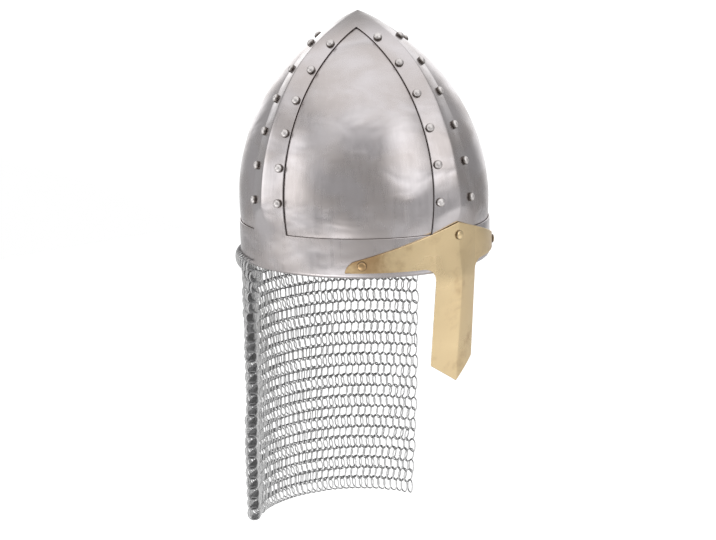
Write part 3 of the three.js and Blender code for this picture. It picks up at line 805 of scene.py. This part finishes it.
def brass_material(finish):
    """Old brass: brown blotches over pale yellow, most of them at the ends of the arms."""
    name = "Tarnished brass"
    if name in bpy.data.materials:
        return bpy.data.materials[name]
    material, nodes, shader, place = new_material(name)
    polish = hand_polish(nodes, place)
    aside = nodes.math("ABSOLUTE", nodes.part(place, "X"), 0)
    arm_end = nodes.remap(aside, *TARNISHED_END)
    cover = nodes.math("ADD", nodes.noise(place, *TARNISH_NOISE), arm_end)
    blotch = nodes.remap(cover, *TARNISH_COVER)
    foot_shade = nodes.attribute("foot_shade")
    tone = nodes.mix(blotch, finish.brass, finish.tarnish)
    # Painted shade round the edge of each brass rivet's head, in the grime colour
    nodes.link(nodes.mix(foot_shade, tone, finish.grime), shader.inputs["Base Color"])
    rough = nodes.remap(polish.outputs["Patches"], *NOISE_RANGE, *BRASS_ROUGH)
    nodes.link(rough, shader.inputs["Roughness"])
    bump(nodes, shader, polish.outputs["Dents"], BRASS_DENTS)
    return material


def mail_material(finish):
    """Mail wire: steel with painted light where it faces out of the curtain and painted shade where it faces
    in, and dark at the links, partly from oxide and partly painted shade.
    """
    material, nodes, shader, place = new_material("Mail wire")
    shader.inputs["Metallic"].default_value = MAIL_METALLIC
    worn = nodes.remap(nodes.noise(place, *MAIL_NOISE), *MAIL_WORN)
    linked = nodes.attribute("linked")
    # Dark oxide and painted shade at the links, where the rings meet
    link_oxide_and_shade = nodes.remap(linked, *MAIL_LINK_OXIDE_AND_SHADE)
    outside = nodes.attribute("outside")
    # Painted light and shade: wire facing out of the curtain is paler, wire facing in is darker
    tone = nodes.mix(nodes.remap(outside, *MAIL_SHADE_TO_LIGHT), finish.mail_inside_shade, finish.mail)
    nodes.link(nodes.mix(link_oxide_and_shade, tone, finish.mail_link_oxide_and_shade), shader.inputs["Base Color"])
    nodes.link(nodes.remap(worn, 0, 1, *MAIL_ROUGH), shader.inputs["Roughness"])
    return material


class HELMET_OT_frame(bpy.types.Operator):
    """Makes the brow and the four creased bands as one sheet with four windows"""

    bl_idname = "helmet.frame"
    bl_label = "Frame"

    def execute(self, context):
        bowl = context.scene.helmet_bowl
        outer = FRAME_INNER + bowl.sheet
        tip = meeting_point(bowl, 0)
        above = np.linspace(tip, 1, BAND_ROWS_TOP + 1)[1:]
        t = np.concatenate([np.linspace(0, tip, BAND_ROWS_LOW + 1), above])
        half = np.array(BAND_COLUMNS)
        shares = np.concatenate([-half[:0:-1], half])
        patches, brow_angles = [], []
        for band in range(4):
            middle = band * QUARTER
            angle = middle + shares * spread(bowl, band, t, band_half(bowl, band, t))[:, None]
            patches.append(frame_point(bowl, angle, t[:, None], outer))
            after = middle + QUARTER - spread(bowl, band + 1, 0.0, band_half(bowl, band + 1, 0.0))
            brow_angles += [angle[0, :-1], np.linspace(angle[0, -1], after, WINDOW_COLUMNS + 1)[:-1]]
        brow_angles = np.concatenate([*brow_angles, brow_angles[0][:1] + 4 * QUARTER])
        roll = RIM_ROLL * (1 - np.sin(np.linspace(RIM_ROLL_TURN, 0, ROLL_ROWS)))
        heights = np.concatenate([roll, np.linspace(RIM_ROLL, bowl.brow_height, BROW_ROWS + 1)[1:]])
        brow_t = heights / bowl.brow_height - 1
        brow_t[-1] = 0
        patches.append(frame_point(bowl, brow_angles, brow_t[:, None], outer))
        points, faces, _ = patchwork(patches)
        clean = np.ones(len(points))  # far from any seam
        material = steel_material(context.scene.helmet_finish)
        piece = add_piece("helmet_frame", points, faces, material, ["frame"], {"seam": clean})
        thicken(piece, bowl.sheet, EDGE_BEVEL)
        return {"FINISHED"}


class HELMET_OT_panels(bpy.types.Operator):
    """Makes the four curved plates behind the frame's windows"""

    bl_idname = "helmet.panels"
    bl_label = "Panels"

    def execute(self, context):
        bowl = context.scene.helmet_bowl
        material = steel_material(context.scene.helmet_finish)
        top = meeting_point(bowl, -PANEL_LAP)
        slope = bowl.point_height - bowl.brow_height
        below = np.array((-PANEL_LAP, SEAM_LINES[0])) / bowl.brow_height
        low = np.concatenate([below, np.array(SEAM_LINES[1:]) / slope])
        t = np.concatenate([low, np.linspace(low[-1], top, PANEL_ROWS + 1)[1:]])
        edges = np.array((-PANEL_LAP, *SEAM_LINES))
        share = np.linspace(0, 1, PANEL_COLUMNS + 1)[1:-1]
        for quarter, name in enumerate(PANELS):
            away, next_away = (band_half(bowl, band, t)[:, None] + edges for band in (quarter, quarter + 1))
            first = quarter * QUARTER + spread(bowl, quarter, t[:, None], away)
            last = (quarter + 1) * QUARTER - spread(bowl, quarter + 1, t[:, None], next_away)
            inside = lerp(first[:, -1:], last[:, -1:], share)
            angle = np.concatenate([first, inside, last[:, ::-1]], axis=1)
            height = outline(bowl, t)[1][:, None]
            sideways, lengthways = crease_distances(bowl, angle, t[:, None])
            sideways = sideways - band_half(bowl, 0, t)[:, None]
            lengthways = lengthways - band_half(bowl, 1, t)[:, None]
            seam = np.minimum(np.minimum(sideways, lengthways), height - bowl.brow_height)
            points, faces, first_use = patchwork([bowl_point(bowl, angle, t[:, None], 0)])
            seam = seam.reshape(-1)[first_use]
            piece = add_piece(f"steel_{name}", points, faces, material, [name], {"seam": seam})
            thicken(piece, bowl.sheet, 0)
        return {"FINISHED"}


class HELMET_OT_rivets(bpy.types.Operator):
    """Makes the domed steel rivets down the edges of the four bands"""

    bl_idname = "helmet.rivets"
    bl_label = "Rivets"

    def execute(self, context):
        bowl = context.scene.helmet_bowl
        material = rivet_material(context.scene.helmet_finish)
        profile = rivet_profile(bowl.rivet_radius, bowl.rivet_height, bowl.rivet_tail)
        for band, label in enumerate(BANDS):
            names, seats, normals = band_rivets(bowl, band)
            points, faces, rows = lathe_on(seats, normals, profile, RIVET_SIDES)
            # Painted shade round the edges of the heads
            foot_shade = rivet_foot_shade(bowl.rivet_radius, profile, rows)
            add_piece(f"rivets_{label}", points, faces, material, names, {"foot_shade": foot_shade})
        return {"FINISHED"}


class HELMET_OT_nasal(bpy.types.Operator):
    """Makes the brass plate over the brow and the nose"""

    bl_idname = "helmet.nasal"
    bl_label = "Nasal"

    def execute(self, context):
        bowl, nasal = context.scene.helmet_bowl, context.scene.helmet_nasal
        points, faces, _ = patchwork(nasal_patches(bowl, nasal))
        material = brass_material(context.scene.helmet_finish)
        piece = add_piece("brass_nasal", points, faces, material, ["nasal"])
        thicken(piece, nasal.sheet, NASAL_BEVEL)
        return {"FINISHED"}


class HELMET_OT_nasal_rivets(bpy.types.Operator):
    """Makes the three flat-domed brass rivets of the nasal"""

    bl_idname = "helmet.nasal_rivets"
    bl_label = "Nasal rivets"

    def execute(self, context):
        bowl, nasal = context.scene.helmet_bowl, context.scene.helmet_nasal
        degrees, heights = np.array(list(NASAL_RIVETS.values())).T

        def surface(angle, height):
            return nasal_point(bowl, nasal, angle, height, nasal.sheet)

        seats, normals = seat_on(surface, np.radians(degrees), heights)
        profile = rivet_profile(nasal.rivet_radius, nasal.rivet_height, nasal.rivet_tail)
        points, faces, rows = lathe_on(seats + RIVET_GAP * normals, normals, profile, RIVET_SIDES)
        # Painted shade round the edges of the heads
        foot_shade = rivet_foot_shade(nasal.rivet_radius, profile, rows)
        material = brass_material(context.scene.helmet_finish)
        add_piece("brass_rivets", points, faces, material, list(NASAL_RIVETS), {"foot_shade": foot_shade})
        return {"FINISHED"}


class HELMET_OT_mail(bpy.types.Operator):
    """Makes the curtain of linked rings that hangs from the rim"""

    bl_idname = "helmet.mail"
    bl_label = "Mail"

    def execute(self, context):
        bowl, mail = context.scene.helmet_bowl, context.scene.helmet_mail
        points, faces, values = ring_points(mail, *mail_rings(bowl, mail))
        material = mail_material(context.scene.helmet_finish)
        add_piece("mail_rings", points, faces.tolist(), material, ["mail_curtain"], values)
        return {"FINISHED"}


# Camera
CAMERA_TURNS = (-41.25, 12.68, -1.55)  # azimuth, elevation and roll in degrees
CAMERA_MOVES = (-0.003192, -0.113904, 1.15115)  # from the target: aside, up and back
CAMERA_TARGET = Vector((0, 0, 0.1))
CAMERA_FOCAL = 1339.51  # in pixels of a frame as wide as the photo
FRAME_WIDTH = 716
SENSOR = 36
CLIP = (0.05, 1000)

# Stage
FLOOR_DROP = 0.25  # the floor lies this far below the mail
FLOOR_SIZE = 5
FLOOR_ROUGH = 0.9
FLOOR_GLOW = 0.6  # the floor is overexposed to white, as in a bright studio
POOLS = {
    # light on the floor: x, y, inner and outer radius, brightness
    "wearer's right": (-1.1, -0.1, 0.15, 0.9, 1.6),
    "front": (0.45, -1.3, 0.3, 1.1, 0.33),
}
WALL_LIGHT = 0.43  # brightness of the studio's walls
CEILING_LIGHT = 1.13
CEILING = (0.54, 0.80)  # sines of the elevations between which walls turn into ceiling
SOFTBOXES = {
    # azimuth from the front towards the wearer's left, elevation and half width in degrees, brightness
    "wearer's right": (-121, 5, 32, 1.2),
    "high on the right": (-87, 30, 20, 0.3),
    "front": (0, 23, 27, 1.15),
    "behind": (134, 13, 42, 0.9),
    "backdrop": (155, 12, 22, 0.5),
    "dark ceiling": (147, 56, 28, -0.3),
    "dark screen": (80, 3, 17, -0.1),
    "low dark screen": (98, -16, 20, -0.12),
    "low front": (28, -12, 22, 0.2),
}


def add_camera():
    """Stands the camera at an azimuth and elevation round the target, moved aside, lifted and rolled."""
    azimuth, elevation, roll = (math.radians(turn) for turn in CAMERA_TURNS)
    aside, lift, distance = CAMERA_MOVES
    flat = math.cos(elevation)
    back = Vector((math.sin(azimuth) * flat, -math.cos(azimuth) * flat, math.sin(elevation)))
    right = Vector((math.cos(azimuth), math.sin(azimuth), 0))
    up = back.cross(right)
    rolled_right = right * math.cos(roll) + up * math.sin(roll)
    rolled_up = up * math.cos(roll) - right * math.sin(roll)
    place = CAMERA_TARGET + rolled_right * aside + rolled_up * lift + back * distance
    data = bpy.data.cameras.new("Camera")
    data.sensor_fit = "HORIZONTAL"
    data.sensor_width = SENSOR
    data.lens = CAMERA_FOCAL * SENSOR / FRAME_WIDTH
    data.clip_start, data.clip_end = CLIP
    camera = bpy.data.objects.new("Camera", data)
    turned = Matrix((rolled_right, rolled_up, back)).transposed().to_4x4()
    camera.matrix_world = Matrix.Translation(place) @ turned
    bpy.context.scene.collection.objects.link(camera)
    bpy.context.scene.camera = camera


def pointing(azimuth, elevation):
    """A unit vector from an azimuth and an elevation in degrees."""
    turn, rise = math.radians(azimuth), math.radians(elevation)
    return (math.sin(turn) * math.cos(rise), -math.cos(turn) * math.cos(rise), math.sin(rise))


def studio_world():
    """Soft light by direction: walls, a brighter ceiling and blurred softboxes. The camera sees white."""
    world = bpy.data.worlds.new("Studio")
    world.use_nodes = True
    nodes = Nodes(world.node_tree)
    way = nodes.add("ShaderNodeTexCoord").outputs["Generated"]

    def facing(direction):
        node = nodes.add("ShaderNodeVectorMath", operation="DOT_PRODUCT")
        nodes.link(way, node.inputs[0])
        node.inputs[1].default_value = direction
        return node.outputs["Value"]

    light = nodes.remap(facing((0, 0, 1)), *CEILING, WALL_LIGHT, CEILING_LIGHT)
    for azimuth, elevation, half_width, brightness in SOFTBOXES.values():
        box = facing(pointing(azimuth, elevation))
        box = nodes.remap(box, math.cos(math.radians(half_width)), 1, 0, brightness)
        light = nodes.math("ADD", light, box)
    seen = nodes.add("ShaderNodeLightPath").outputs["Is Camera Ray"]
    background = world.node_tree.nodes["Background"]
    nodes.link(nodes.math("MAXIMUM", light, seen), background.inputs["Strength"])
    background.inputs["Color"].default_value = (1, 1, 1, 1)
    return world


def floor_material(colour, level):
    """A pale floor, white to the camera, with soft pools of light that reach the metal from below."""
    material = bpy.data.materials.new("Pale floor")
    material.use_nodes = True
    nodes = Nodes(material.node_tree)
    shader = material.node_tree.nodes["Principled BSDF"]
    shader.inputs["Base Color"].default_value = (*colour, 1)
    shader.inputs["Roughness"].default_value = FLOOR_ROUGH
    shader.inputs["Emission Color"].default_value = (1, 1, 1, 1)
    seen = nodes.add("ShaderNodeLightPath").outputs["Is Camera Ray"]
    place = nodes.add("ShaderNodeTexCoord").outputs["Object"]
    glow = nodes.math("MULTIPLY", seen, FLOOR_GLOW)
    for x, y, inner, outer, brightness in POOLS.values():
        away = nodes.add("ShaderNodeVectorMath", operation="DISTANCE")
        nodes.link(place, away.inputs[0])
        away.inputs[1].default_value = (x, y, level)
        glow = nodes.math("MAXIMUM", glow, nodes.remap(away.outputs["Value"], inner, outer, brightness, 0))
    nodes.link(glow, shader.inputs["Emission Strength"])
    return material


class HELMET_OT_stage(bpy.types.Operator):
    """Makes the pale floor, the soft studio light and the camera"""

    bl_idname = "helmet.stage"
    bl_label = "Stage"

    def execute(self, context):
        scene = context.scene
        scene.view_settings.view_transform = "Standard"
        level = CAD_BOX[0].z - FLOOR_DROP
        half = FLOOR_SIZE / 2
        mesh = bpy.data.meshes.new("floor")
        corners = [(-half, -half, level), (half, -half, level), (half, half, level), (-half, half, level)]
        mesh.from_pydata(corners, [], [(0, 1, 2, 3)])
        mesh.materials.append(floor_material(scene.helmet_finish.floor, level))
        floor = bpy.data.objects.new("floor", mesh)
        scene.collection.objects.link(floor)
        scene.world = studio_world()
        add_camera()
        return {"FINISHED"}


class HELMET_PT_sidebar(bpy.types.Panel):
    """Lists the helmet's pieces and the stage"""

    bl_label = "Helmet"
    bl_idname = "HELMET_PT_sidebar"
    bl_space_type = "VIEW_3D"
    bl_region_type = "UI"
    bl_category = "Helmet"

    def draw(self, context):
        for operator in OPERATORS:
            self.layout.operator(operator.bl_idname)
        for group in GROUPS:
            settings = getattr(context.scene, group)
            box = self.layout.box()
            for name in settings.__annotations__:
                box.prop(settings, name)


OPERATORS = (
    HELMET_OT_frame,
    HELMET_OT_panels,
    HELMET_OT_rivets,
    HELMET_OT_nasal,
    HELMET_OT_nasal_rivets,
    HELMET_OT_mail,
    HELMET_OT_stage,
)
GROUPS = {
    "helmet_bowl": HelmetBowl,
    "helmet_nasal": HelmetNasal,
    "helmet_mail": HelmetMail,
    "helmet_finish": HelmetFinish,
}
CLASSES = (*GROUPS.values(), *OPERATORS, HELMET_PT_sidebar)


def register():
    for kind in CLASSES:
        bpy.utils.register_class(kind)
    for name, kind in GROUPS.items():
        setattr(bpy.types.Scene, name, bpy.props.PointerProperty(type=kind))


def unregister():
    for name in GROUPS:
        delattr(bpy.types.Scene, name)
    for kind in reversed(CLASSES):
        bpy.utils.unregister_class(kind)


def main():
    register()
    for operator in OPERATORS:
        family, action = operator.bl_idname.split(".")
        getattr(getattr(bpy.ops, family), action)()


if __name__ == "__main__":
    main()
